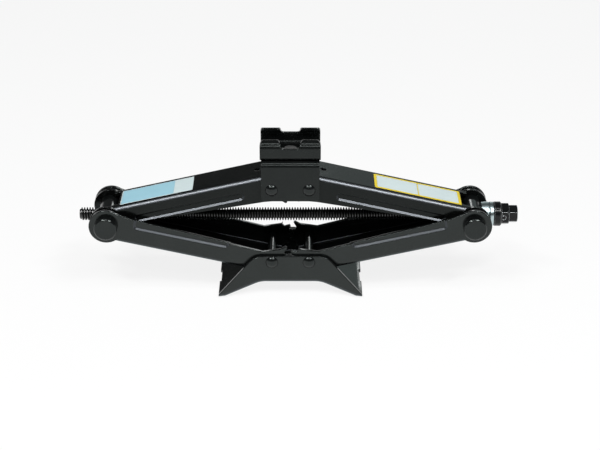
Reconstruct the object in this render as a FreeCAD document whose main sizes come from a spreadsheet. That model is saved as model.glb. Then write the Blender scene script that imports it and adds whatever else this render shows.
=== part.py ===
import FreeCAD
import Part
import math
import os
import re
import Sketcher

# Scissor jack, in millimetres: +X along the lead screw towards its drive end, +Y to the back, +Z up.
# The origin is on the ground, midway between the two base pivots.

SIZES = {
    # linkage
    "arm_reach": 155,
    "rest_angle": 12.8,
    "least_angle": 6,
    "most_angle": 56,
    "pivot_gap": 34,
    "base_pivot_height": 32.5,
    # stamped arms
    "arm_wall": 3,
    "bend_radius": 4.5,
    "upper_arm_width": 43,
    "lower_arm_width": 58.5,
    "web_offset": 13,
    "heel_run": 9,
    "ear_radius": 15.8,
    "ear_shoulder_angle": 112,
    "ear_neck_run": 30,
    "hump_run": 10,
    "upper_edge_inner": 11,
    "upper_edge_outer": 5,
    "lower_edge_inner": 7,
    "lower_edge_outer": 11,
    "upper_web_end": 7,
    "lower_web_end": 18,
    "web_notch_run": 14,
    "web_notch_width": 27,
    "web_hole_run": 10.5,
    "web_hole_radius": 3.2,
    "bead_depth": 1.6,
    "bead_draft": 1.4,
    "groove_slope": 40,
    "step_slope": 52,
    "groove_start": 26,
    "groove_end": 129,
    "groove_line": 1.5,
    "groove_width": 7,
    "step_start": 42,
    "step_end": 131,
    "step_line": 3,
    "step_corner": 4,
    # teeth that mesh each pair of arms
    "tooth_pitch_angle": 30,
    "tooth_out": 2.2,
    "tooth_in": 2.8,
    "tooth_margin": 0.36,
    "tooth_gap_floor": 3.1,
    "tooth_flank_angle": 29,
    # pins and fits
    "pin_radius": 4.2,
    "rivet_head_radius": 5.9,
    "rivet_head_height": 2.8,
    "running_clearance": 0.06,
    "side_clearance": 0.4,
    # base
    "base_wall": 3,
    "base_half_length": 66.2,
    "base_foot_half_width": 41,
    "base_toe_run": 5.5,
    "base_crest_half": 27,
    "base_raise": 11.5,
    "base_top_half": 33,
    "base_top_margin": 5.7,
    "base_flare_start": 31,
    "base_top_round": 16,
    "base_arch_round": 30,
    "base_flare_round": 45,
    "base_bend": 4.5,
    "base_notch_half_width": 12,
    "base_notch_depth": 1.4,
    # head
    "head_wall": 3,
    "head_half_length": 26.5,
    "head_rise": 27,
    "head_drop": 10.8,
    "head_bend": 6,
    "head_corner": 3,
    # saddle
    "saddle_wall": 3,
    "saddle_half_length": 27.5,
    "saddle_width": 44,
    "saddle_bend": 5,
    "saddle_side_rise": 10.3,
    "saddle_lip_radius": 8,
    "saddle_notch_width": 17.5,
    "saddle_notch_floor": 12,
    "saddle_tab_corner": 4,
    "saddle_notch_corner": 2.5,
    "saddle_rivet_radius": 4,
    "saddle_rivet_head_radius": 7,
    "saddle_rivet_head_height": 1.8,
    # trunnions
    "trunnion_radius": 11,
    "trunnion_seat": 8,
    "journal_radius": 8,
    "spacer_radius": 12,
    "cap_radius": 10.6,
    "cap_height": 6.7,
    "cap_socket": 4.5,
    "cap_chamfer": 1.2,
    # screw and thrust bearing
    "screw_radius": 6,
    "screw_tail": 26.8,
    "screw_chamfer": 1.2,
    "ring_length": 7,
    "race_length": 3.3,
    "race_gap": 1,
    "ring_radius": 11.2,
    "ring_bore_clearance": 0.4,
    "ball_radius": 1.7,
    "ball_circle": 8.7,
    "ball_clearance": 0.05,
    "ball_count": 10,
    "cage_thickness": 0.6,
    "cage_width": 4.4,
    # drive head
    "collar_radius": 11.4,
    "collar_length": 7.5,
    "collar_chamfer": 1,
    "nut_across_flats": 18.5,
    "nut_length": 6.9,
    "drive_across_flats": 15,
    "drive_length": 7.9,
    "hexagon_chamfer_angle": 30,
    "drive_pin_radius": 2,
    "drive_socket_wall": 3,
}

# places worked out from the driving sizes
TRUNNION_X = "(pivot_gap / 2 + arm_reach * cos(rest_angle))"
TRUNNION_Z = "(base_pivot_height + arm_reach * sin(rest_angle))"
HEAD_Z = "(base_pivot_height + 2 * arm_reach * sin(rest_angle))"
TIP_RADIUS = "(pivot_gap / 2 + tooth_out)"
ROOT_RADIUS = "(pivot_gap / 2 - tooth_in)"
PIN_HOLE = "(pin_radius + running_clearance)"
JOURNAL_HOLE = "(journal_radius + running_clearance)"
SCREW_HOLE = "(screw_radius + running_clearance)"
HEAD_INNER = "(upper_arm_width / 2 + side_clearance)"
HEAD_OUTER = f"({HEAD_INNER} + head_wall)"
BASE_INNER = "(lower_arm_width / 2 + side_clearance)"
BASE_OUTER = f"({BASE_INNER} + base_wall)"
BASE_TOP = "(base_pivot_height + base_top_margin)"
SADDLE_FLOOR = f"({HEAD_Z} + head_rise)"
CAP_SEAT = "(lower_arm_width / 2 + side_clearance)"
RING_END = "(trunnion_seat + ring_length)"
RACE_START = f"({RING_END} + race_gap)"
RACE_END = f"({RACE_START} + race_length)"
COLLAR_END = f"({RACE_END} + collar_length)"
NUT_END = f"({COLLAR_END} + nut_length)"
DRIVE_END = f"({NUT_END} + drive_length)"
SCREW_END = f"({NUT_END} - drive_socket_wall)"
BALL_X = f"({RING_END} + race_gap / 2)"

WORDS = re.compile(r"\b(" + "|".join(SIZES) + r")\b")
MARGIN = "2"  # how far a cutting outline runs past the solid that it trims
LEFT, RIGHT = -1, 1
LOWER, UPPER = 1, -1
FRONT, BACK = -1, 1

doc = FreeCAD.newDocument("scissor_jack")
sheet = doc.addObject("Spreadsheet::Sheet", "sizes")
for row, (alias, number) in enumerate(SIZES.items(), 1):
    sheet.set(f"A{row}", alias)
    sheet.set(f"B{row}", str(number))
    sheet.setAlias(f"B{row}", alias)
doc.recompute()
subparts = {}


# expressions, sketches and features

def sized(text):
    """An expression in which each size is read from the sheet."""
    return WORDS.sub(r"sizes.\1", text)


def value(text):
    """The number that an expression gives now."""
    found = sheet.evalExpression(sized(text))
    return float(getattr(found, "Value", found))


def place(item, x="0", y="0", z="0"):
    for axis, text in zip("xyz", (x, y, z)):
        item.setExpression(f"Placement.Base.{axis}", sized(text))


def new_body(label):
    body = doc.addObject("PartDesign::Body", label)
    subparts[label] = body
    return body


def sketch_in(body, role, name, offset="0"):
    """A sketch on one of the body's origin planes, moved along the plane's normal."""
    sketch = body.newObject("Sketcher::SketchObject", name)
    plane = next(item for item in body.Origin.OriginFeatures if item.Role == role)
    sketch.AttachmentSupport = [(plane, "")]
    sketch.MapMode = "FlatFace"
    sketch.setExpression("AttachmentOffset.Base.z", sized(offset))
    return sketch


def bind(sketch, constraint, text):
    index = sketch.addConstraint(constraint)
    sketch.setExpression(f"Constraints[{index}]", sized(text))


def lock(sketch, element, end, across, up):
    """Hold one end of a sketch element at a place given by two expressions."""
    bind(sketch, Sketcher.Constraint("DistanceX", -1, 1, element, end, value(across)), across)
    bind(sketch, Sketcher.Constraint("DistanceY", -1, 1, element, end, value(up)), up)


def outline(sketch, corners):
    """A closed outline. A corner is (across, up), or (across, up, centre_across, centre_up, radius)
    where the run from it to the next corner is an arc about that centre."""
    runs = []
    for corner, following in zip(corners, corners[1:] + corners[:1]):
        start = FreeCAD.Vector(value(corner[0]), value(corner[1]))
        finish = FreeCAD.Vector(value(following[0]), value(following[1]))
        if len(corner) == 2:
            runs.append((sketch.addGeometry(Part.LineSegment(start, finish)), 1, 2, None))
            continue
        centre = FreeCAD.Vector(value(corner[2]), value(corner[3]))
        circle = Part.Circle(centre, FreeCAD.Vector(0, 0, 1), value(corner[4]))
        angles = [math.atan2((end - centre).y, (end - centre).x) for end in (start, finish)]
        onward = (start - centre).cross(finish - centre).z > 0
        arc = Part.ArcOfCircle(circle, *(angles if onward else reversed(angles)))
        ends = (1, 2) if onward else (2, 1)
        runs.append((sketch.addGeometry(arc), *ends, corner[4]))
    for run, following in zip(runs, runs[1:] + runs[:1]):
        sketch.addConstraint(Sketcher.Constraint("Coincident", run[0], run[2], following[0], following[1]))
    for run, corner in zip(runs, corners):
        lock(sketch, run[0], run[1], corner[0], corner[1])
        if run[3]:
            bind(sketch, Sketcher.Constraint("Radius", run[0], value(run[3])), run[3])


def rectangle(sketch, low_across, low_up, high_across, high_up):
    outline(sketch, [(low_across, low_up), (high_across, low_up), (high_across, high_up), (low_across, high_up)])


def hole(sketch, across, up, radius):
    centre = FreeCAD.Vector(value(across), value(up))
    index = sketch.addGeometry(Part.Circle(centre, FreeCAD.Vector(0, 0, 1), value(radius)))
    lock(sketch, index, 3, across, up)
    bind(sketch, Sketcher.Constraint("Radius", index, value(radius)), radius)


def swept(body, kind, sketch, length, both_ways=False, backwards=False, draft=None):
    feature = body.newObject(f"PartDesign::{kind}", f"{sketch.Name}_{kind.lower()}")
    feature.Profile = sketch
    feature.setExpression("Length", sized(length))
    feature.Midplane = both_ways
    feature.Reversed = backwards
    if draft:
        feature.setExpression("TaperAngle", sized(draft))
    body.Tip = feature
    doc.recompute()
    return feature


def pad(body, sketch, length, **options):
    return swept(body, "Pad", sketch, length, **options)


def pocket(body, sketch, length, **options):
    doc.recompute()
    before = body.Shape.Volume
    feature = swept(body, "Pocket", sketch, length, **options)
    if not body.Shape.Volume < before:
        raise RuntimeError(f"{feature.Name} in {body.Label} cuts nothing")
    return feature


def turned(label, corners, axis):
    """A body of revolution about one axis of its sketch on the XY plane."""
    body = new_body(label)
    sketch = sketch_in(body, "XY_Plane", f"{label}_section")
    outline(sketch, corners)
    feature = body.newObject("PartDesign::Revolution", f"{label}_turned")
    feature.Profile = sketch
    feature.ReferenceAxis = (sketch, [axis])
    feature.Angle = 360
    doc.recompute()
    return body


# stamped arms

def channel_section(width, top, rise):
    """A folded channel as (across, up): its web lies web_offset from the pivots and its walls end at top."""
    half, web = f"{width} / 2", "-web_offset"
    corner_y = f"({half} - bend_radius)"
    corner_z = f"{rise} * ({web} + bend_radius)"
    inner_bend = "bend_radius - arm_wall"
    inner, floor = f"({half} - arm_wall)", f"{rise} * ({web} + arm_wall)"
    roof = f"{rise} * {top}"
    return [
        (f"-{half}", roof),
        (f"-{half}", corner_z, f"-{corner_y}", corner_z, "bend_radius"),
        (f"-{corner_y}", f"{rise} * {web}"),
        (corner_y, f"{rise} * {web}", corner_y, corner_z, "bend_radius"),
        (half, corner_z),
        (half, roof),
        (inner, roof),
        (inner, corner_z, corner_y, corner_z, inner_bend),
        (corner_y, floor),
        (f"-{corner_y}", floor, f"-{corner_y}", corner_z, inner_bend),
        (f"-{inner}", corner_z),
        (f"-{inner}", roof),
    ]


def arm_side(side, rise, edge_inner, edge_outer):
    """The arm seen from the front: toothed heel about its pivot, tapering wall, round ear about the trunnion."""
    first_tooth = "(180 - most_angle - tooth_margin * tooth_pitch_angle)"
    last_tooth = "(180 - least_angle + tooth_margin * tooth_pitch_angle)"
    ear_foot = "sqrt(ear_radius ^ 2 - web_offset ^ 2)"
    ear = (f"{side} * arm_reach", "0", "ear_radius")
    heel = ("0", "0", TIP_RADIUS)
    corners = [
        ("-heel_run", "-web_offset"),
        (f"(arm_reach - {ear_foot})", "-web_offset", *ear),
        ("(arm_reach + ear_radius)", "0", *ear),
        ("(arm_reach + ear_radius * cos(ear_shoulder_angle))", "ear_radius * sin(ear_shoulder_angle)"),
        ("(arm_reach - ear_neck_run)", edge_outer),
        ("hump_run", edge_inner),
        (f"{ROOT_RADIUS} * cos({first_tooth})", f"{ROOT_RADIUS} * sin({first_tooth})"),
        (f"{TIP_RADIUS} * cos({first_tooth})", f"{TIP_RADIUS} * sin({first_tooth})", *heel),
        (f"{TIP_RADIUS} * cos({last_tooth})", f"{TIP_RADIUS} * sin({last_tooth})"),
    ]
    return [(f"{side} * ({x})", f"{rise} * ({z})", *rest) for x, z, *rest in corners]


def tooth_gap(side, rise, angle):
    """One tapered gap between teeth, on the ray at this angle from the arm's own line."""
    outer = f"({TIP_RADIUS} + {MARGIN})"
    floor_half = "tooth_gap_floor / 2"
    mouth_half = f"({floor_half} + ({outer} - {ROOT_RADIUS}) * tan(tooth_flank_angle))"
    corners = [(ROOT_RADIUS, floor_half), (ROOT_RADIUS, f"-{floor_half}"),
               (outer, f"-{mouth_half}"), (outer, mouth_half)]
    return [(f"{side} * ({along} * cos({angle}) - ({across}) * sin({angle}))",
             f"{rise} * ({along} * sin({angle}) + ({across}) * cos({angle}))") for along, across in corners]


def cut_teeth(body, label, side, rise, width):
    """Front and back walls are half a pitch apart, so one arm meshes with its twin turned end for end."""
    mesh_angle = "(180 - rest_angle)"
    gap_count = math.ceil((value("most_angle") - value("least_angle")) / value("tooth_pitch_angle")) + 2
    for wall in (FRONT, BACK):
        shift = "0" if wall == side else "tooth_pitch_angle / 2"
        sketch = sketch_in(body, "XZ_Plane", f"{label}_teeth_{'front' if wall == FRONT else 'back'}")
        for step in range(gap_count):
            outline(sketch, tooth_gap(side, rise, f"({mesh_angle} + {shift} + {1 - step} * tooth_pitch_angle)"))
        pocket(body, sketch, f"{width}", backwards=wall == FRONT)


def groove_corners(side, rise, grow):
    """The long round-ended groove of an upper arm's wall."""
    half = f"(groove_width / 2 + {grow})"
    start, finish = "(groove_start + groove_width / 2)", "(groove_end - groove_width / 2)"
    corners = [
        (start, f"(groove_line - {half})"),
        (finish, f"(groove_line - {half})", f"{side} * {finish}", f"{rise} * groove_line", half),
        (f"({finish} + {half})", "groove_line", f"{side} * {finish}", f"{rise} * groove_line", half),
        (finish, f"(groove_line + {half})"),
        (start, f"(groove_line + {half})", f"{side} * {start}", f"{rise} * groove_line", half),
        (f"({start} - {half})", "groove_line", f"{side} * {start}", f"{rise} * groove_line", half),
    ]
    return [(f"{side} * {x}", f"{rise} * {z}", *rest) for x, z, *rest in corners]


def step_corners(side, rise, grow):
    """The stepped-in strip along the open edge of a lower arm's wall, past which the strip runs out."""
    start, finish = f"(step_start - {grow})", f"(step_end + {grow})"
    line, top = f"(step_line - {grow})", f"({TIP_RADIUS} + {MARGIN})"
    left, right = f"({start} + step_corner)", f"({finish} - step_corner)"
    bend = f"({line} + step_corner)"
    corners = [
        (left, line),
        (right, line, f"{side} * {right}", f"{rise} * {bend}", "step_corner"),
        (finish, bend),
        (finish, top),
        (start, top),
        (start, bend, f"{side} * {left}", f"{rise} * {bend}", "step_corner"),
    ]
    return [(f"{side} * {x}", f"{rise} * {z}", *rest) for x, z, *rest in corners]


def press_bead(body, label, width, corners_of, slope, side, rise):
    """A bead pressed in from outside: sunk in the outer face of each wall and proud by as much inside."""
    for wall, word in ((FRONT, "front"), (BACK, "back")):
        outer = sketch_in(body, "XZ_Plane", f"{label}_bead_{word}", f"{-wall} * {width} / 2")
        outline(outer, corners_of(side, rise, "0"))
        pocket(body, outer, "bead_depth", backwards=wall == BACK, draft=f"-{slope}")
        inner = sketch_in(body, "XZ_Plane", f"{label}_boss_{word}", f"{-wall} * ({width} / 2 - arm_wall)")
        outline(inner, corners_of(side, rise, "bead_draft"))
        pad(body, inner, "bead_depth", backwards=wall == FRONT)


def make_arm(label, side, rise):
    upper = rise == UPPER
    width = "upper_arm_width" if upper else "lower_arm_width"
    edges = ("upper_edge_inner", "upper_edge_outer") if upper else ("lower_edge_inner", "lower_edge_outer")
    web_end = "upper_web_end" if upper else "lower_web_end"
    inner_half = f"({width} / 2 - arm_wall)"
    blank_start = f"({TIP_RADIUS} + {MARGIN})"
    blank_end = f"(arm_reach + ear_radius + {MARGIN})"
    body = new_body(label)

    section = sketch_in(body, "YZ_Plane", f"{label}_section", f"{-side} * {blank_start}")
    outline(section, channel_section(width, f"({TIP_RADIUS} + {MARGIN})", rise))
    pad(body, section, f"{blank_start} + {blank_end}", backwards=side == LEFT)
    bead = (groove_corners, "groove_slope") if upper else (step_corners, "step_slope")
    press_bead(body, label, width, *bead, side, rise)

    trim = sketch_in(body, "XZ_Plane", f"{label}_side")
    frame = f"({blank_end} + {MARGIN})"
    rectangle(trim, f"-{frame}", f"-{frame}", frame, frame)
    outline(trim, arm_side(side, rise, *edges))
    pocket(body, trim, f"{width} + 2 * {MARGIN}", both_ways=True)

    web = sketch_in(body, "XY_Plane", f"{label}_web_end")
    reach = f"{side} * {blank_end}"
    rectangle(web, f"{side} * (arm_reach - {web_end})", f"-{inner_half}", reach, inner_half)
    pocket(body, web, "2 * ear_radius + 2 * bend_radius", both_ways=True)
    if upper:
        notch = sketch_in(body, "XY_Plane", f"{label}_web_notch")
        rectangle(notch, f"{side} * (arm_reach - web_notch_run)", "-web_notch_width / 2", reach, "web_notch_width / 2")
        hole(notch, f"{side} * web_hole_run", "0", "web_hole_radius")
        pocket(body, notch, "2 * ear_radius + 2 * bend_radius", both_ways=True)

    for wall, word in ((FRONT, "front"), (BACK, "back")):
        ear = sketch_in(body, "XZ_Plane", f"{label}_ear_{word}", f"{-wall} * {width} / 2")
        hole(ear, f"{side} * arm_reach", "0", "ear_radius")
        pad(body, ear, "arm_wall", backwards=wall == FRONT)
    holes = sketch_in(body, "XZ_Plane", f"{label}_holes")
    hole(holes, "0", "0", PIN_HOLE)
    hole(holes, f"{side} * arm_reach", "0", JOURNAL_HOLE)
    pocket(body, holes, f"{width} + 2 * {MARGIN}", both_ways=True)
    cut_teeth(body, label, side, rise, width)

    body.Placement.Rotation = FreeCAD.Rotation(FreeCAD.Vector(0, 1, 0), 1)
    body.setExpression("Placement.Rotation.Angle", sized(f"{-side * rise} * rest_angle"))
    place(body, x=f"{side} * pivot_gap / 2", z=HEAD_Z if upper else "base_pivot_height")


# base, head and saddle

def extrusion(label, turn, corners, length):
    """A loose outline, turned about X out of the XY plane and drawn out equally both ways."""
    sketch = doc.addObject("Sketcher::SketchObject", f"{label}_outline")
    sketch.Placement.Rotation = FreeCAD.Rotation(FreeCAD.Vector(1, 0, 0), turn)
    outline(sketch, corners)
    solid = doc.addObject("Part::Extrusion", label)
    solid.Base = sketch
    solid.DirMode = "Normal"
    solid.Solid = True
    solid.Symmetric = True
    solid.setExpression("LengthFwd", sized(length))
    return solid


def boolean(kind, label, first, second):
    solid = doc.addObject(f"Part::{kind}", label)
    solid.Base = first
    solid.Tool = second
    return solid


def both_sides(half):
    """An outline given by its right half, from bottom to top, with its mirror image."""
    return half + [(f"-{x}", z) for x, z in reversed(half)]


def base_plan(half_width, foot_half_width, half_length):
    return both_sides([("base_flare_start", f"-{half_width}"), (half_length, f"-{foot_half_width}"),
                       (half_length, foot_half_width), ("base_flare_start", half_width)])


def rounded(label, solid, radius, is_kink):
    """The solid with those of its edges rounded that pass the test."""
    doc.recompute()
    soft = doc.addObject("Part::Fillet", label)
    soft.Base = solid
    size = value(radius)
    soft.Edges = [(number, size, size) for number, edge in enumerate(solid.Shape.Edges, 1) if is_kink(edge.BoundBox)]
    if not soft.Edges:
        raise RuntimeError(f"{label} rounds nothing")
    return soft


def upright(half_x, half_y):
    """A test for the four upright edges at plus and minus these distances."""
    return lambda box: (box.ZLength > 1 and abs(abs(box.Center.x) - value(half_x)) < 0.01
                        and abs(abs(box.Center.y) - value(half_y)) < 0.01)


def crosswise(half_x, z):
    """A test for the two edges along Y at plus and minus this distance and at this height."""
    return lambda box: (box.YLength > 1 and abs(abs(box.Center.x) - value(half_x)) < 0.01
                        and abs(box.Center.z - value(z)) < 0.01)


def lower_rim(top):
    """A test for the edges that run along the foot's underside, no higher than this."""
    return lambda box: box.XLength > 0.1 and box.ZMax < value(top) + 0.01


def base_form(label, lift, half_width, foot_half_width, half_length, top):
    """The foot's outer form, or its hollow: an arched front view common to a splayed plan, bent along the rim."""
    toe = "(base_half_length - base_toe_run)"
    inside = lift != "0"
    crest = f"base_raise + {lift}"
    front_half = [("base_crest_half", crest), (toe, lift), (half_length, lift)]
    front_half += [(half_length, top)] if inside else [(half_length, "base_wall"), ("base_top_half", top)]
    front = extrusion(f"{label}_front", 90, both_sides(front_half), "4 * base_foot_half_width")
    front = rounded(f"{label}_arch", front, f"base_arch_round - {lift}", crosswise("base_crest_half", crest))
    if not inside:
        front = rounded(f"{label}_brow", front, "base_top_round", crosswise("base_top_half", top))
    plan = extrusion(f"{label}_plan", 0, base_plan(half_width, foot_half_width, half_length), f"4 * {BASE_TOP}")
    plan = rounded(f"{label}_splay", plan, f"base_flare_round + {lift}", upright("base_flare_start", half_width))
    form = boolean("Common", f"{label}_form", front, plan)
    return rounded(f"{label}_bend", form, f"base_bend - {lift}", lower_rim(crest))


def make_base():
    """A pressed foot: arched web on two toes, with walls that splay out towards the toes."""
    past_end = f"(base_half_length + {MARGIN})"
    splay = f"(base_foot_half_width - {BASE_OUTER}) / (base_half_length - base_flare_start)"
    inner_foot = f"(base_foot_half_width - base_wall + {splay} * {MARGIN})"
    blank = base_form("base", "0", BASE_OUTER, "base_foot_half_width", "base_half_length", BASE_TOP)
    hollow = base_form("base_hollow", "base_wall", BASE_INNER, inner_foot, past_end, f"({BASE_TOP} + {MARGIN})")
    tray = boolean("Cut", "base_tray", blank, hollow)
    cuts = doc.addObject("Part::MultiFuse", "base_cuts")
    tools = []
    for side, word in ((LEFT, "left"), (RIGHT, "right")):
        pin = doc.addObject("Part::Cylinder", f"base_pin_hole_{word}")
        pin.Placement.Rotation = FreeCAD.Rotation(FreeCAD.Vector(1, 0, 0), 90)
        pin.setExpression("Radius", sized(PIN_HOLE))
        pin.setExpression("Height", sized("4 * base_foot_half_width"))
        place(pin, x=f"{side} * pivot_gap / 2", y="2 * base_foot_half_width", z="base_pivot_height")
        notch = doc.addObject("Part::Box", f"base_notch_{word}")
        notch.setExpression("Length", sized("2 * base_notch_depth"))
        notch.setExpression("Width", sized("2 * base_notch_half_width"))
        notch.setExpression("Height", sized("4 * base_wall"))
        place(notch, x=f"{side} * base_half_length - base_notch_depth", y="-base_notch_half_width",
              z="-2 * base_wall")
        tools += [pin, notch]
    cuts.Shapes = tools
    base = boolean("Cut", "base_plate", tray, cuts)
    subparts["base_plate"] = base


def make_head():
    """An inverted channel that straddles the upper arms' heels."""
    body = new_body("head_bracket")
    corner_y, corner_z = f"({HEAD_OUTER} - head_bend)", "(head_rise - head_bend)"
    inner_bend = "head_bend - head_wall"
    section = sketch_in(body, "YZ_Plane", "head_section")
    outline(section, [
        (HEAD_OUTER, "-head_drop"),
        (HEAD_OUTER, corner_z, corner_y, corner_z, "head_bend"),
        (corner_y, "head_rise"),
        (f"-{corner_y}", "head_rise", f"-{corner_y}", corner_z, "head_bend"),
        (f"-{HEAD_OUTER}", corner_z),
        (f"-{HEAD_OUTER}", "-head_drop"),
        (f"-{HEAD_INNER}", "-head_drop"),
        (f"-{HEAD_INNER}", corner_z, f"-{corner_y}", corner_z, inner_bend),
        (f"-{corner_y}", "head_rise - head_wall"),
        (corner_y, "head_rise - head_wall", corner_y, corner_z, inner_bend),
        (HEAD_INNER, corner_z),
        (HEAD_INNER, "-head_drop"),
    ])
    pad(body, section, "2 * head_half_length", both_ways=True)
    trim = sketch_in(body, "XZ_Plane", "head_side")
    frame = "(head_half_length + head_rise)"
    rectangle(trim, f"-{frame}", f"-{frame}", frame, frame)
    run, foot = "(head_half_length - head_corner)", "(head_corner - head_drop)"
    outline(trim, [
        (f"-{run}", "-head_drop"),
        (run, "-head_drop", run, foot, "head_corner"),
        ("head_half_length", foot),
        ("head_half_length", f"(head_rise + {MARGIN})"),
        ("-head_half_length", f"(head_rise + {MARGIN})"),
        ("-head_half_length", foot, f"-{run}", foot, "head_corner"),
    ])
    for side in (LEFT, RIGHT):
        hole(trim, f"{side} * pivot_gap / 2", "0", PIN_HOLE)
    pocket(body, trim, f"2 * {HEAD_OUTER} + 2 * {MARGIN}", both_ways=True)
    rivet = sketch_in(body, "XY_Plane", "head_rivet_hole")
    hole(rivet, "0", "0", "saddle_rivet_radius + running_clearance")
    pocket(body, rivet, f"2 * (head_rise + {MARGIN})", both_ways=True)
    place(body, z=HEAD_Z)


def make_saddle():
    """The load saddle: a channel whose walls curl inwards into two lips at the front and two at the back."""
    body = new_body("load_saddle")
    half, inner = "saddle_width / 2", "(saddle_width / 2 - saddle_wall)"
    bend_y, bend_in = f"({half} - saddle_bend)", "saddle_bend - saddle_wall"
    lip_y, lip_z = f"({half} - saddle_lip_radius)", "saddle_side_rise"
    lip_in = "(saddle_lip_radius - saddle_wall)"
    right = [
        (bend_y, "0", bend_y, "saddle_bend", "saddle_bend"),
        (half, "saddle_bend"),
        (half, lip_z, lip_y, lip_z, "saddle_lip_radius"),
        (lip_y, f"{lip_z} + saddle_lip_radius"),
        (lip_y, f"{lip_z} + {lip_in}", lip_y, lip_z, lip_in),
        (inner, lip_z),
        (inner, "saddle_bend", bend_y, "saddle_bend", bend_in),
        (bend_y, "saddle_wall"),
    ]
    left = [
        (f"-{bend_y}", "saddle_wall", f"-{bend_y}", "saddle_bend", bend_in),
        (f"-{inner}", "saddle_bend"),
        (f"-{inner}", lip_z, f"-{lip_y}", lip_z, lip_in),
        (f"-{lip_y}", f"{lip_z} + {lip_in}"),
        (f"-{lip_y}", f"{lip_z} + saddle_lip_radius", f"-{lip_y}", lip_z, "saddle_lip_radius"),
        (f"-{half}", lip_z),
        (f"-{half}", "saddle_bend", f"-{bend_y}", "saddle_bend", "saddle_bend"),
        (f"-{bend_y}", "0"),
    ]
    section = sketch_in(body, "YZ_Plane", "saddle_section")
    outline(section, right + left)
    pad(body, section, "2 * saddle_half_length", both_ways=True)

    notch = sketch_in(body, "XZ_Plane", "saddle_notch")
    side, crest = "saddle_notch_width / 2", f"({lip_z} + saddle_lip_radius)"
    top, shoulder = f"({crest} + {MARGIN})", f"({crest} - saddle_tab_corner)"
    floor, turn = "saddle_notch_floor", "(saddle_notch_floor + saddle_notch_corner)"
    foot, brow = f"({side} - saddle_notch_corner)", f"({side} + saddle_tab_corner)"
    outline(notch, [
        (f"-{foot}", floor),
        (foot, floor, foot, turn, "saddle_notch_corner"),
        (side, turn),
        (side, shoulder, brow, shoulder, "saddle_tab_corner"),
        (brow, crest),
        (brow, top),
        (f"-{brow}", top),
        (f"-{brow}", crest, f"-{brow}", shoulder, "saddle_tab_corner"),
        (f"-{side}", shoulder),
        (f"-{side}", turn, f"-{foot}", turn, "saddle_notch_corner"),
    ])
    end, inset = "saddle_half_length", "(saddle_half_length - saddle_tab_corner)"
    for way in ("", "-"):
        outline(notch, [
            (f"{way}{end}", shoulder, f"{way}{inset}", shoulder, "saddle_tab_corner"),
            (f"{way}{inset}", crest),
            (f"{way}{inset}", top),
            (f"{way}({end} + {MARGIN})", top),
            (f"{way}({end} + {MARGIN})", shoulder),
        ])
    pocket(body, notch, f"saddle_width + 2 * {MARGIN}", both_ways=True)
    rivet = sketch_in(body, "XY_Plane", "saddle_rivet_hole")
    hole(rivet, "0", "0", "saddle_rivet_radius + running_clearance")
    pocket(body, rivet, f"2 * (saddle_wall + {MARGIN})", both_ways=True)
    place(body, z=SADDLE_FLOOR)


# pins, trunnions, screw and thrust bearing

def make_rivet(label, grip_half, x, z):
    """A cross pin with a low domed head at each end, along Y."""
    crown = f"({grip_half} + rivet_head_height)"
    dome = "((rivet_head_radius ^ 2 + rivet_head_height ^ 2) / (2 * rivet_head_height))"
    centre = f"({crown} - {dome})"
    body = turned(label, [
        ("0", f"-{crown}", "0", f"-{centre}", dome),
        ("rivet_head_radius", f"-{grip_half}"),
        ("pin_radius", f"-{grip_half}"),
        ("pin_radius", grip_half),
        ("rivet_head_radius", grip_half, "0", centre, dome),
        ("0", crown),
    ], "V_Axis")
    place(body, x=x, z=z)


def make_saddle_rivet():
    """The rivet that holds the saddle down on the head, along Z: drawn along Y, then stood up."""
    grip = "head_wall + saddle_wall"
    body = turned("saddle_rivet", [
        ("0", "-saddle_rivet_head_height"),
        ("saddle_rivet_head_radius * 0.8", "-saddle_rivet_head_height"),
        ("saddle_rivet_head_radius", "0"),
        ("saddle_rivet_radius", "0"),
        ("saddle_rivet_radius", grip),
        ("saddle_rivet_head_radius", grip),
        ("saddle_rivet_head_radius * 0.8", f"{grip} + saddle_rivet_head_height"),
        ("0", f"{grip} + saddle_rivet_head_height"),
    ], "V_Axis")
    body.Placement.Rotation = FreeCAD.Rotation(FreeCAD.Vector(1, 0, 0), 90)
    place(body, z=f"{SADDLE_FLOOR} - head_wall")


def make_trunnion(label, side):
    """A cross shaft with a journal at each end, bored for the screw and flattened where a ring seats."""
    barrel = "(upper_arm_width / 2 - arm_wall - side_clearance)"
    end = f"({CAP_SEAT} + cap_socket)"
    body = turned(label, [
        ("0", f"-{end}"), ("journal_radius", f"-{end}"), ("journal_radius", f"-{barrel}"),
        ("trunnion_radius", f"-{barrel}"), ("trunnion_radius", barrel), ("journal_radius", barrel),
        ("journal_radius", end), ("0", end)], "V_Axis")
    bore = sketch_in(body, "YZ_Plane", f"{label}_bore")
    hole(bore, "0", "0", SCREW_HOLE)
    pocket(body, bore, f"2 * trunnion_radius + 2 * {MARGIN}", both_ways=True)
    seat = sketch_in(body, "XY_Plane", f"{label}_seat")
    rectangle(seat, f"{side} * trunnion_seat", f"-{barrel} - {MARGIN}",
              f"{side} * (trunnion_radius + {MARGIN})", f"{barrel} + {MARGIN}")
    pocket(body, seat, f"2 * trunnion_radius + 2 * {MARGIN}", both_ways=True)
    place(body, x=f"{side} * {TRUNNION_X}", z=TRUNNION_Z)


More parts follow.
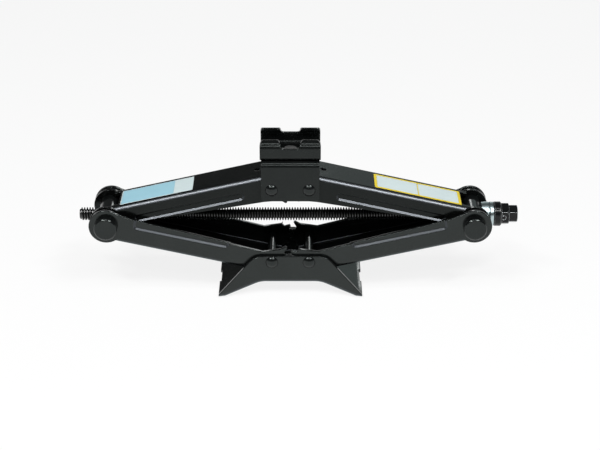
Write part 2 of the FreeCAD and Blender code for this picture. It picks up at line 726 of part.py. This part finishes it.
def make_trunnion_ends(prefix, side):
    """The spacer between the two arms' ears and the cap outside them, on each journal."""
    spacer_in = "(upper_arm_width / 2 + side_clearance)"
    spacer_out = "(lower_arm_width / 2 - arm_wall - side_clearance)"
    crown = f"({CAP_SEAT} + cap_height)"
    socket = f"({CAP_SEAT} + cap_socket)"
    for wall, word in ((FRONT, "front"), (BACK, "back")):
        spacer = turned(f"{prefix}_spacer_{word}", [
            (radius, f"{wall} * {along}") for radius, along in (
                (JOURNAL_HOLE, spacer_in), ("spacer_radius", spacer_in),
                ("spacer_radius", spacer_out), (JOURNAL_HOLE, spacer_out))], "V_Axis")
        cap = turned(f"{prefix}_cap_{word}", [
            (radius, f"{wall} * {along}") for radius, along in (
                (JOURNAL_HOLE, CAP_SEAT), ("cap_radius", CAP_SEAT), ("cap_radius", f"({crown} - cap_chamfer)"),
                ("cap_radius - cap_chamfer", crown), ("0", crown), ("0", socket), (JOURNAL_HOLE, socket))],
            "V_Axis")
        for item in (spacer, cap):
            place(item, x=f"{side} * {TRUNNION_X}", z=TRUNNION_Z)


def at_drive_end(body):
    place(body, x=TRUNNION_X, z=TRUNNION_Z)


def make_screw():
    """The lead screw's plain outer form, from its free tail to its end inside the drive head."""
    tail = f"(-2 * {TRUNNION_X} - screw_tail)"
    body = turned("lead_screw", [
        (tail, "0"), (tail, "screw_radius - screw_chamfer"), (f"{tail} + screw_chamfer", "screw_radius"),
        (SCREW_END, "screw_radius"), (SCREW_END, "0")], "H_Axis")
    pin = sketch_in(body, "XZ_Plane", "screw_pin_hole")
    hole(pin, f"{COLLAR_END} + (nut_length - drive_socket_wall) / 2", "0", "drive_pin_radius + running_clearance")
    pocket(body, pin, f"2 * screw_radius + 2 * {MARGIN}", both_ways=True)
    at_drive_end(body)


def bearing_half(label, near, far, bore, grooved):
    """A thrust ring about the screw, with a ball track sunk in the face that looks at the balls."""
    track = "(ball_radius + ball_clearance)"
    half_mouth = f"sqrt({track} ^ 2 - (race_gap / 2) ^ 2)"
    corners = [(near, bore), (near, "ring_radius"), (far, "ring_radius"), (far, bore)]
    arc = (BALL_X, "ball_circle", track)
    deep = f"({BALL_X} {'+' if grooved == near else '-'} {track})"
    low, high = f"(ball_circle - {half_mouth})", f"(ball_circle + {half_mouth})"
    if grooved == near:
        corners[1:1] = [(near, low, *arc), (deep, "ball_circle", *arc), (near, high)]
    else:
        corners[3:3] = [(far, high, *arc), (deep, "ball_circle", *arc), (far, low)]
    at_drive_end(turned(label, corners, "H_Axis"))


def make_balls():
    """The ring of balls and the flat cage that spaces them."""
    count = int(value("ball_count"))
    cage = turned("ball_cage", [
        (f"{BALL_X} - cage_thickness / 2", "ball_circle - cage_width / 2"),
        (f"{BALL_X} - cage_thickness / 2", "ball_circle + cage_width / 2"),
        (f"{BALL_X} + cage_thickness / 2", "ball_circle + cage_width / 2"),
        (f"{BALL_X} + cage_thickness / 2", "ball_circle - cage_width / 2")], "H_Axis")
    windows = sketch_in(cage, "YZ_Plane", "cage_windows")
    balls = doc.addObject("Part::Compound", "thrust_balls")
    members = []
    for number in range(count):
        across = f"ball_circle * cos(360 * {number} / ball_count)"
        up = f"ball_circle * sin(360 * {number} / ball_count)"
        hole(windows, across, up, "ball_radius + ball_clearance")
        ball = doc.addObject("Part::Sphere", f"ball_{number + 1}")
        ball.setExpression("Radius", sized("ball_radius"))
        place(ball, x=BALL_X, y=across, z=up)
        members.append(ball)
    pocket(cage, windows, f"2 * ({BALL_X} + cage_thickness)", both_ways=True)
    balls.Links = members
    subparts["thrust_balls"] = balls
    at_drive_end(cage)
    at_drive_end(balls)


def chamfer_hexagon(body, name, across_flats, end):
    """Turn the corners off a hexagon's outer end down to the circle that its flats touch."""
    sketch = sketch_in(body, "XY_Plane", name)
    circle, clear = f"({across_flats} / 2)", f"({across_flats} / 2 / cos(30) + {MARGIN})"
    run = f"(({clear} - {circle}) * tan(hexagon_chamfer_angle))"
    outline(sketch, [(end, circle), (end, clear), (f"({end} - {run})", clear)])
    feature = body.newObject("PartDesign::Groove", f"{name}_turned")
    feature.Profile = sketch
    feature.ReferenceAxis = (sketch, ["H_Axis"])
    feature.Angle = 360
    body.Tip = feature
    doc.recompute()


def hexagon(sketch, across_flats):
    radius = f"({across_flats} / 2 / cos(30))"
    outline(sketch, [(f"{radius} * cos({60 * corner + 30})", f"{radius} * sin({60 * corner + 30})")
                     for corner in range(6)])


def make_drive_head():
    """Collar, nut and drive hexagon forged as one piece, bored for the screw's end and pinned to it."""
    bore = "(screw_radius + running_clearance)"
    body = turned("drive_head", [
        (RACE_END, bore), (RACE_END, "collar_radius - collar_chamfer"),
        (f"{RACE_END} + collar_chamfer", "collar_radius"), (f"{COLLAR_END} - collar_chamfer", "collar_radius"),
        (COLLAR_END, "collar_radius - collar_chamfer"), (COLLAR_END, bore)], "H_Axis")
    nut = sketch_in(body, "YZ_Plane", "nut_section", COLLAR_END)
    hexagon(nut, "nut_across_flats")
    pad(body, nut, "nut_length")
    chamfer_hexagon(body, "nut_chamfer", "nut_across_flats", NUT_END)
    drive = sketch_in(body, "YZ_Plane", "drive_section", NUT_END)
    hexagon(drive, "drive_across_flats")
    pad(body, drive, "drive_length")
    chamfer_hexagon(body, "drive_chamfer", "drive_across_flats", DRIVE_END)
    socket = sketch_in(body, "YZ_Plane", "drive_socket", SCREW_END)
    hole(socket, "0", "0", bore)
    pocket(body, socket, f"{SCREW_END} - {COLLAR_END} + {MARGIN}")
    pin = sketch_in(body, "XZ_Plane", "drive_pin_hole")
    hole(pin, f"{COLLAR_END} + (nut_length - drive_socket_wall) / 2", "0", "drive_pin_radius + running_clearance")
    pocket(body, pin, "2 * nut_across_flats", both_ways=True)
    at_drive_end(body)

    half = "nut_across_flats / 2"
    cross_pin = turned("drive_pin", [
        ("0", f"-{half}"), ("drive_pin_radius", f"-{half}"), ("drive_pin_radius", half), ("0", half)], "V_Axis")
    place(cross_pin, x=f"{TRUNNION_X} + {COLLAR_END} + (nut_length - drive_socket_wall) / 2", z=TRUNNION_Z)


make_base()
for word, side in (("left", LEFT), ("right", RIGHT)):
    make_arm(f"lower_arm_{word}", side, LOWER)
    make_arm(f"upper_arm_{word}", side, UPPER)
    make_rivet(f"base_rivet_{word}", BASE_OUTER, f"{side} * pivot_gap / 2", "base_pivot_height")
    make_rivet(f"head_rivet_{word}", HEAD_OUTER, f"{side} * pivot_gap / 2", HEAD_Z)
make_head()
make_saddle()
make_saddle_rivet()
make_trunnion("nut_trunnion", LEFT)
make_trunnion_ends("nut", LEFT)
make_trunnion("bearing_trunnion", RIGHT)
make_trunnion_ends("bearing", RIGHT)
make_screw()
bearing_half("thrust_ring", "trunnion_seat", RING_END, "screw_radius + ring_bore_clearance", RING_END)
bearing_half("thrust_race", RACE_START, RACE_END, "screw_radius + running_clearance", RACE_START)
make_balls()
make_drive_head()
doc.recompute()

failed = [item.Name for item in doc.Objects if {"Invalid", "Error"} & set(item.State)]
if failed:
    raise RuntimeError(f"objects that failed: {failed}")
os.makedirs("parts", exist_ok=True)
for label, item in subparts.items():
    if item.Shape.isNull() or not item.Shape.isValid():
        raise RuntimeError(f"{label} has no valid shape")
for label, item in subparts.items():
    item.Label = label
    item.Shape.exportStep(os.path.join("parts", f"{label}.step"))
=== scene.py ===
import math

import bpy
from mathutils import Matrix, Vector


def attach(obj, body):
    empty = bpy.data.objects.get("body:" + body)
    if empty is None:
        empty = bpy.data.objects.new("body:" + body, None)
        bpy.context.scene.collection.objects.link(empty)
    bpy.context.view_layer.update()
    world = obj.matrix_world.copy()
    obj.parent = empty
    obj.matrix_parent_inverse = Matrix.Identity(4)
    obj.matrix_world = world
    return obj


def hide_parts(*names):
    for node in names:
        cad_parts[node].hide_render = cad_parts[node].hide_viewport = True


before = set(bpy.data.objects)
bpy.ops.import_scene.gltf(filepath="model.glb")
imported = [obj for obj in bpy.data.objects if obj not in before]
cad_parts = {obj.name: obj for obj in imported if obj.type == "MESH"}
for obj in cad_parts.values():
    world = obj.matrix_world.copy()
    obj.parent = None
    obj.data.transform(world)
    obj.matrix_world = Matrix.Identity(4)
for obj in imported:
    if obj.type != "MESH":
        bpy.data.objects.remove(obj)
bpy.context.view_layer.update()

MM = 0.001

# linkage at rest, in metres
ARM_REACH = 155 * MM
REST_ANGLE = math.radians(12.8)
PIVOT_X = 17 * MM
BASE_PIVOT_Z = 32.5 * MM
WEB_OFFSET = 13 * MM
TRUNNION_X = PIVOT_X + ARM_REACH * math.cos(REST_ANGLE)
TRUNNION_Z = BASE_PIVOT_Z + ARM_REACH * math.sin(REST_ANGLE)
HEAD_Z = BASE_PIVOT_Z + 2 * ARM_REACH * math.sin(REST_ANGLE)

# screw: its tail and its end are measured outwards from the trunnions, its plain shank inwards
SCREW_RADIUS = 6 * MM
SCREW_PITCH = 2.5 * MM
SCREW_TAIL = 26.8 * MM
SCREW_END = 30.6 * MM
SHANK_LEAD = 16 * MM
CORE_RADIUS = SCREW_RADIUS - 2.0 * MM
TAIL_RADIUS = SCREW_RADIUS - 1.6 * MM
STEPS_PER_TURN = 40

# one thread's section as (share of the pitch, radius), and the strip of it that is the crest
THREAD_SECTION = ((0.0, CORE_RADIUS), (0.18, CORE_RADIUS), (0.34, SCREW_RADIUS), (0.66, SCREW_RADIUS),
                  (0.82, CORE_RADIUS))
CREST_STRIP = 2

# grooved face of the screw's tail as (depth, radius)
TAIL_FACE = ((0.0, 0.0), (0.0, SCREW_RADIUS - 3.2 * MM), (0.4 * MM, SCREW_RADIUS - 2.2 * MM),
             (0.0, TAIL_RADIUS), (3 * MM, SCREW_RADIUS - 1.7 * MM))

# run-out of the thread, in pitches before the shank, and the start of the shank's tapered skin
RUN_OUT_START = 3
RUN_OUT_LENGTH = 2
TAPER_START = 2.6
TAPER_RADIUS = SCREW_RADIUS - 1.0 * MM

# rounded edges
SHEET_ROUND = 0.9 * MM
TURNED_ROUND = 0.3 * MM
ROUND_SEGMENTS = 3
WELD_GAP = 0.01 * MM
FLAT_ANGLE = math.radians(1)
SHARP_ANGLE = math.radians(30)

# labels
FILM = 0.12 * MM
LABEL_SHIFT = 0.75 * MM
LABEL_CORNER = 1.2 * MM
LABEL_CORNER_STEP = 18
LEFT = -1
RIGHT = 1

LOWER = ["base_plate", "lower_arm_left", "lower_arm_right"]
HEAD = ["head_bracket", "load_saddle"]
UPPER_ARMS = ["upper_arm_left", "upper_arm_right"]
PINS = ["base_rivet_left", "base_rivet_right", "head_rivet_left", "head_rivet_right",
        "nut_trunnion", "bearing_trunnion", "nut_cap_front", "nut_cap_back", "bearing_cap_front",
        "bearing_cap_back", "nut_spacer_front", "nut_spacer_back", "bearing_spacer_front",
        "bearing_spacer_back"]
WORN = ["saddle_rivet"]
DRIVE = ["lead_screw", "drive_head", "drive_pin"]
ZINC = ["thrust_ring", "thrust_race", "thrust_balls", "ball_cage"]


# shader nodes

def node(tree, kind, **inputs):
    """A shader node with constants set on its sockets."""
    made = tree.nodes.new(kind)
    for name, value in inputs.items():
        made.inputs[name.replace("_", " ")].default_value = value
    return made


def noise(tree, place, scale, detail):
    """Cloudy noise in the piece's own coordinates."""
    made = node(tree, "ShaderNodeTexNoise", Scale=scale, Detail=detail)
    tree.links.new(place, made.inputs["Vector"])
    return made.outputs["Fac"]


def spread(tree, source, span, to=(0, 1)):
    """A value stretched from one range to another and held at its ends."""
    made = tree.nodes.new("ShaderNodeMapRange")
    for socket, value in zip(made.inputs[1:5], (*span, *to)):
        socket.default_value = value
    tree.links.new(source, made.inputs[0])
    return made.outputs[0]


def combine(tree, operation, *sources):
    """A maths node fed by other nodes."""
    made = tree.nodes.new("ShaderNodeMath")
    made.operation = operation
    for source, socket in zip(sources, made.inputs):
        tree.links.new(source, socket)
    return made.outputs[0]


def blend(tree, share, first, second):
    """A mix of two colours, each given as numbers or as another node's output."""
    made = tree.nodes.new("ShaderNodeMix")
    made.data_type = "RGBA"
    for colour, socket in ((first, made.inputs[6]), (second, made.inputs[7])):
        if isinstance(colour, bpy.types.NodeSocket):
            tree.links.new(colour, socket)
        else:
            socket.default_value = (*colour, 1)
    tree.links.new(share, made.inputs[0])
    return made.outputs[2]


# materials

CLOUD_SCALE = 38.0
CLOUD_SPAN = (0.35, 0.7)
SMEAR_SCALE = 110.0
SMEAR_SPAN = (0.3, 0.7)
RELIEF_DEPTH = 0.2 * MM
EDGE_SAMPLES = 12
# roughness of the painted highlight laid along bends and sharp edges
SHEEN_ROUGHNESS = 0.34

# how far a bend faces front or back where it leaves the flat and where it meets the wall
BEND_START = (0.25, 0.45)
BEND_END = (0.90, 0.97)

# how far the rounded normal still agrees with the face's own along a sharp edge
CORNER_SPAN = (0.88, 0.995)


def bends(tree):
    """One on the bends between the walls, which face front or back, and the flats across them."""
    split = tree.nodes.new("ShaderNodeSeparateXYZ")
    tree.links.new(tree.nodes.new("ShaderNodeTexCoord").outputs["Normal"], split.inputs[0])
    facing = combine(tree, "ABSOLUTE", split.outputs["Y"])
    off_flat = spread(tree, facing, BEND_START)
    off_wall = spread(tree, facing, BEND_END, to=(1, 0))
    return combine(tree, "MULTIPLY", off_flat, off_wall)


def corners(tree, rounded):
    """One along the sharp edges, where the rounded normal leans away from the face's own."""
    lean = tree.nodes.new("ShaderNodeVectorMath")
    lean.operation = "DOT_PRODUCT"
    tree.links.new(rounded, lean.inputs[0])
    tree.links.new(tree.nodes.new("ShaderNodeNewGeometry").outputs["True Normal"], lean.inputs[1])
    return spread(tree, lean.outputs["Value"], CORNER_SPAN, to=(1, 0))


def surface(name, dark, light, roughness, grain, bump, metallic=0.0, gloss=0.5, tint=(1, 1, 1),
            edge=0.8 * MM, painted_sheen=None, sharp=False):
    """A material whose colour, roughness and relief all vary.

    A steel colour given for its bends, or for its sharp edges if sharp is set, makes them metallic and
    lighter there: a painted highlight that brightens the lamps' lines on them, not wear.
    """
    material = bpy.data.materials.new(name)
    material.use_nodes = True
    tree = material.node_tree
    shader = tree.nodes["Principled BSDF"]
    place = tree.nodes.new("ShaderNodeTexCoord").outputs["Object"]
    cloud = spread(tree, noise(tree, place, CLOUD_SCALE, detail=4.0), CLOUD_SPAN)
    colour = blend(tree, cloud, dark, light)
    smear = spread(tree, noise(tree, place, SMEAR_SCALE, detail=3.0), SMEAR_SPAN, to=roughness)
    round_edge = node(tree, "ShaderNodeBevel", Radius=edge)
    round_edge.samples = EDGE_SAMPLES
    rounded = round_edge.outputs["Normal"]
    if painted_sheen:
        # painted highlight: the bends, or the sharp edges, turn metallic steel so that the lamps' lines on
        # them show brighter
        sheen_mask = corners(tree, rounded) if sharp else bends(tree)
        colour = blend(tree, sheen_mask, colour, painted_sheen)
        smear = combine(tree, "MAXIMUM", smear, spread(tree, sheen_mask, (0, 1), to=(0, SHEEN_ROUGHNESS)))
        tree.links.new(sheen_mask, shader.inputs["Metallic"])
    else:
        shader.inputs["Metallic"].default_value = metallic
    tree.links.new(colour, shader.inputs["Base Color"])
    tree.links.new(smear, shader.inputs["Roughness"])
    relief = node(tree, "ShaderNodeBump", Strength=bump, Distance=RELIEF_DEPTH)
    tree.links.new(noise(tree, place, grain, detail=2.0), relief.inputs["Height"])
    tree.links.new(rounded, relief.inputs["Normal"])
    tree.links.new(relief.outputs["Normal"], shader.inputs["Normal"])
    shader.inputs["Specular IOR Level"].default_value = gloss
    shader.inputs["Specular Tint"].default_value = (*tint, 1)
    return material


COOL = (0.90, 1.0, 0.97)
BLACK = dict(dark=(0.0025, 0.0028, 0.0029), light=(0.0050, 0.0056, 0.0055))
PAINTED = dict(roughness=(0.15, 0.21), grain=620.0, bump=0.005, tint=COOL)
OILY = dict(dark=(0.004, 0.0044, 0.0047), light=(0.009, 0.0097, 0.0105), grain=900.0, bump=0.02)
PRINTED = dict(roughness=(0.46, 0.52), grain=500.0, bump=0.01, gloss=0.2)

# the steel colours given along the bends of paint and arm_paint are painted highlights, not wear
paint = surface("black_paint", **BLACK, **PAINTED, gloss=0.50, edge=1.5 * MM, painted_sheen=(0.065, 0.070, 0.076))
# painted shade: head_paint and arm_paint are duller copies of the black paint, arm_paint also darker, so
# the head and the upper arms' walls render darker than the base and lower arms
head_paint = surface("head_paint", **BLACK, **PAINTED, gloss=0.32, edge=1.5 * MM)
arm_paint = surface("arm_paint", dark=(0.0018, 0.0020, 0.0019), light=(0.0036, 0.0040, 0.0038), **PAINTED,
                    gloss=0.24, edge=0.6 * MM, painted_sheen=(0.100, 0.107, 0.116))
pin_paint = surface("pin_paint", dark=(0.0030, 0.0034, 0.0036), light=(0.0060, 0.0068, 0.0068),
                    roughness=(0.10, 0.20), grain=800.0, bump=0.02, gloss=0.42, tint=COOL, edge=1.2 * MM)
worn = surface("worn_steel", dark=(0.07, 0.07, 0.07), light=(0.13, 0.13, 0.13), roughness=(0.40, 0.60),
               grain=600.0, bump=0.10, metallic=0.5)
# painted glints: a light steel colour laid along the drive pieces' sharp edges
oiled = surface("oiled_steel", **OILY, roughness=(0.07, 0.15), gloss=0.25, painted_sheen=(0.42, 0.44, 0.45),
                sharp=True)
# lit and shaded copies of the screw's steel: glossy on the crests, darker and duller on the roots and
# flanks, painted shade in the thread's grooves
crest = surface("thread_crest", **OILY, roughness=(0.10, 0.22), gloss=0.9, edge=0.2 * MM)
root = surface("thread_root", dark=(0.002, 0.002, 0.002), light=(0.004, 0.004, 0.004),
               roughness=(0.50, 0.70), grain=900.0, bump=0.02, gloss=0.15, edge=0.2 * MM)
zinc = surface("zinc", dark=(0.42, 0.51, 0.53), light=(0.62, 0.71, 0.72), roughness=(0.20, 0.38),
               grain=700.0, bump=0.06, metallic=1.0)
label_blue = surface("label_blue", dark=(0.32, 0.57, 0.67), light=(0.35, 0.60, 0.70), **PRINTED)
label_white = surface("label_white", dark=(0.59, 0.69, 0.70), light=(0.63, 0.73, 0.73), **PRINTED)
label_yellow = surface("label_yellow", dark=(0.74, 0.57, 0.03), light=(0.80, 0.62, 0.04), **PRINTED)

for names, material in ((LOWER, paint), (HEAD, head_paint), (UPPER_ARMS, arm_paint), (PINS, pin_paint),
                        (WORN, worn), (DRIVE, oiled), (ZINC, zinc)):
    for name in names:
        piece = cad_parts[name]
        piece.data.materials.clear()
        piece.data.materials.append(material)


# rounded edges on the sheet metal and the turned pieces

def soften(name, width):
    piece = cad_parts[name]
    weld = piece.modifiers.new("weld", "WELD")
    weld.merge_threshold = WELD_GAP
    flat = piece.modifiers.new("flat", "DECIMATE")
    flat.decimate_type = "DISSOLVE"
    flat.angle_limit = FLAT_ANGLE
    bevel = piece.modifiers.new("bevel", "BEVEL")
    bevel.width = width
    bevel.segments = ROUND_SEGMENTS
    bevel.limit_method = "ANGLE"
    bevel.angle_limit = SHARP_ANGLE
    normals = piece.modifiers.new("normals", "WEIGHTED_NORMAL")
    normals.keep_sharp = False


for name in LOWER + HEAD + UPPER_ARMS:
    soften(name, SHEET_ROUND)
for name in PINS + WORN + ["drive_head", "thrust_ring", "thrust_race"]:
    soften(name, TURNED_ROUND)


# threaded screw

def around(x, radius, angle):
    """A point at a place along the screw's axis, by its radius and angle."""
    return (x, radius * math.cos(angle), TRUNNION_Z + radius * math.sin(angle))


def thread_rows(tail, shank):
    """Rows of the screw's surface along its helix, from the chamfered tail to the run-out."""
    turns = (shank - tail) / SCREW_PITCH
    for step in range(int(turns * STEPS_PER_TURN) + 1):
        angle = 2 * math.pi * step / STEPS_PER_TURN
        row = []
        for share, radius in THREAD_SECTION:
            x = tail + SCREW_PITCH * (step / STEPS_PER_TURN + share - 1)
            chamfer = TAIL_RADIUS + max(0.0, x - tail)
            run_out = (x - shank + RUN_OUT_START * SCREW_PITCH) / (RUN_OUT_LENGTH * SCREW_PITCH)
            fill = CORE_RADIUS + (SCREW_RADIUS - CORE_RADIUS) * max(0.0, min(1.0, run_out))
            row.append(around(max(tail, min(shank, x)), min(max(radius, fill), chamfer), angle))
        yield row


def add_lathe(points, faces, outline):
    """A turned skin about the screw's axis, from its outline of (x, radius)."""
    start = len(points)
    for x, radius in outline:
        for step in range(STEPS_PER_TURN):
            points.append(around(x, radius, 2 * math.pi * step / STEPS_PER_TURN))
    for ring in range(len(outline) - 1):
        first = start + ring * STEPS_PER_TURN
        for step in range(STEPS_PER_TURN):
            here = first + step
            onward = first + (step + 1) % STEPS_PER_TURN
            faces.append((here, onward, onward + STEPS_PER_TURN, here + STEPS_PER_TURN))


def make_screw():
    tail = -TRUNNION_X - SCREW_TAIL
    shank = TRUNNION_X - SHANK_LEAD
    end = TRUNNION_X + SCREW_END
    rows = list(thread_rows(tail, shank))
    width = len(THREAD_SECTION)
    points = [point for row in rows for point in row]
    faces = []
    crests = []
    for step in range(len(rows) - 1):
        for strip in range(width - 1):
            corner = step * width + strip
            faces.append((corner, corner + 1, corner + width + 1, corner + width))
            crests.append(strip == CREST_STRIP)
        if step + STEPS_PER_TURN + 1 < len(rows):
            last = step * width + width - 1
            following = (step + STEPS_PER_TURN) * width
            faces.append((last, following, following + width, last + width))
            crests.append(False)
    add_lathe(points, faces, [(tail + depth, radius) for depth, radius in TAIL_FACE])
    add_lathe(points, faces, [(shank - TAPER_START * SCREW_PITCH, TAPER_RADIUS),
                              (shank - SCREW_PITCH, SCREW_RADIUS), (end, SCREW_RADIUS), (end, 0.0)])
    mesh = bpy.data.meshes.new("threaded_screw")
    mesh.from_pydata(points, [], faces)
    for material in (crest, root):
        mesh.materials.append(material)
    for face, is_crest in zip(mesh.polygons, crests):
        face.material_index = 0 if is_crest else 1
    screw = bpy.data.objects.new("threaded_screw", mesh)
    bpy.context.collection.objects.link(screw)
    screw.data.shade_flat()
    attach(screw, "screw")
    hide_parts("lead_screw")


make_screw()


# blank labels on the upper arms' webs

def label(name, side, near, far, half_width, lift, thickness, material):
    """A thin round-cornered plate, from near to far along an upper arm and lift above its web."""
    low_x = near + LABEL_CORNER
    high_x = far - LABEL_CORNER
    high_y = half_width - LABEL_CORNER
    rim = []
    centres = ((high_x, high_y), (low_x, high_y), (low_x, -high_y), (high_x, -high_y))
    for quarter, (x, y) in enumerate(centres):
        for degrees in range(0, 91, LABEL_CORNER_STEP):
            angle = math.radians(90 * quarter + degrees)
            rim.append((x + LABEL_CORNER * math.cos(angle),
                        y + LABEL_CORNER * math.sin(angle) - side * LABEL_SHIFT))
    count = len(rim)
    bottom = WEB_OFFSET + lift
    points = [(x, y, z) for z in (bottom, bottom + thickness) for x, y in rim]
    faces = [tuple(range(count, 2 * count)), tuple(reversed(range(count)))]
    faces += [(i, (i + 1) % count, count + (i + 1) % count, count + i) for i in range(count)]
    mesh = bpy.data.meshes.new(name)
    mesh.from_pydata(points, [], faces)
    mesh.materials.append(material)
    piece = bpy.data.objects.new(name, mesh)
    bpy.context.collection.objects.link(piece)
    turn = Matrix.Rotation(REST_ANGLE, 4, "Y")
    if side == LEFT:
        turn = Matrix.Rotation(-REST_ANGLE, 4, "Y") @ Matrix.Rotation(math.pi, 4, "Z")
    mesh.transform(Matrix.Translation((side * PIVOT_X, 0, HEAD_Z)) @ turn)
    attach(piece, "upper_right" if side > 0 else "upper_left")


label("label_left_border", LEFT, 71 * MM, 139.5 * MM, 15.3 * MM, 0, FILM, label_white)
label("label_left_field", LEFT, 89 * MM, 138.6 * MM, 14.4 * MM, FILM, FILM / 2, label_blue)
label("label_right_border", RIGHT, 58.5 * MM, 140.5 * MM, 15.3 * MM, 0, FILM, label_yellow)
label("label_right_field", RIGHT, 61 * MM, 99.5 * MM, 12.9 * MM, FILM, FILM / 2, label_white)
label("label_right_panel", RIGHT, 100.3 * MM, 138 * MM, 12.9 * MM, FILM, FILM / 2, label_white)


# floor, light and camera

FLOOR_REACH = 6.0
FLOOR_DROP = 0.2 * MM
FLOOR_GLOW = 0.85
HORIZON_SPAN = (0.03, 0.18)
WHITE = (1, 1, 1)
FLAG_BLACK = (0.07, 0.075, 0.075)
CENTRE = (0, 0, 0.05)
CAMERA_TARGET = Vector((8.8 * MM, 0, 55.2 * MM))
CAMERA_ELEVATION = math.radians(25)
CAMERA_DISTANCE = 1.55


def make_floor():
    """A pale floor that glows for the camera and for reflections, and still takes the shadow."""
    mesh = bpy.data.meshes.new("floor")
    rim = [(-1, -1), (1, -1), (1, 1), (-1, 1)]
    mesh.from_pydata([(x * FLOOR_REACH, y * FLOOR_REACH, 0) for x, y in rim], [], [(0, 1, 2, 3)])
    floor = bpy.data.objects.new("floor", mesh)
    bpy.context.collection.objects.link(floor)
    floor.location.z = -FLOOR_DROP
    material = bpy.data.materials.new("floor")
    material.use_nodes = True
    tree = material.node_tree
    shader = tree.nodes["Principled BSDF"]
    shader.inputs["Base Color"].default_value = (0.9, 0.9, 0.9, 1)
    shader.inputs["Roughness"].default_value = 0.9
    shader.inputs["Specular IOR Level"].default_value = 0.1
    rays = tree.nodes.new("ShaderNodeLightPath")
    seen = rays.outputs["Is Camera Ray"]
    for name in ("Is Glossy Ray", "Is Transmission Ray"):
        seen = combine(tree, "MAXIMUM", seen, rays.outputs[name])
    mix = tree.nodes.new("ShaderNodeMixShader")
    tree.links.new(spread(tree, seen, (0, 1), to=(0, FLOOR_GLOW)), mix.inputs[0])
    tree.links.new(shader.outputs[0], mix.inputs[1])
    tree.links.new(node(tree, "ShaderNodeEmission", Strength=1.0).outputs[0], mix.inputs[2])
    tree.links.new(mix.outputs[0], tree.nodes["Material Output"].inputs["Surface"])
    mesh.materials.append(material)


def make_world():
    """A pale horizon that darkens upwards, as in a studio with black flags over the table."""
    world = bpy.data.worlds.new("studio")
    bpy.context.scene.world = world
    world.use_nodes = True
    tree = world.node_tree
    background = tree.nodes["Background"]
    split = tree.nodes.new("ShaderNodeSeparateXYZ")
    tree.links.new(tree.nodes.new("ShaderNodeTexCoord").outputs["Generated"], split.inputs[0])
    height = spread(tree, split.outputs["Z"], HORIZON_SPAN)
    tree.links.new(blend(tree, height, WHITE, FLAG_BLACK), background.inputs["Color"])


def area_light(name, place, aim, size, power, colour=WHITE):
    light = bpy.data.lights.new(name, "AREA")
    light.shape = "RECTANGLE"
    light.size, light.size_y = size
    light.energy = power
    light.color = colour
    lamp = bpy.data.objects.new(name, light)
    bpy.context.collection.objects.link(lamp)
    lamp.location = place
    lamp.rotation_euler = (Vector(aim) - Vector(place)).to_track_quat("-Z", "Y").to_euler()


def make_camera():
    camera_data = bpy.data.cameras.new("camera")
    camera_data.lens = 100
    camera_data.sensor_width = 36
    camera = bpy.data.objects.new("camera", camera_data)
    bpy.context.collection.objects.link(camera)
    outward = Vector((0, -math.cos(CAMERA_ELEVATION), math.sin(CAMERA_ELEVATION)))
    camera.location = CAMERA_TARGET + CAMERA_DISTANCE * outward
    camera.rotation_euler = (CAMERA_TARGET - camera.location).to_track_quat("-Z", "Y").to_euler()
    bpy.context.scene.camera = camera


make_floor()
make_world()
area_light("front_left", (-0.675, -0.825, 1.48), CENTRE, (0.65, 0.14), 11.5)
area_light("front_right", (0.675, -0.825, 1.48), CENTRE, (0.65, 0.14), 13.5)
area_light("top_strip", (0, -0.43, 1.64), CENTRE, (2.0, 0.12), 7.5)
area_light("low_strip", (0, -1.17, 1.22), CENTRE, (2.0, 0.12), 6.0)
area_light("back_right", (0.40, 1.36, 0.66), (0.1, 0, 0.08), (0.5, 0.5), 0.3, (0.85, 1.0, 0.98))
area_light("back_edge", (0.155, 1.36, 0.70), (-0.06, 0, 0.05), (0.18, 0.2), 0.5)
make_camera()
bpy.context.scene.view_settings.view_transform = "Standard"
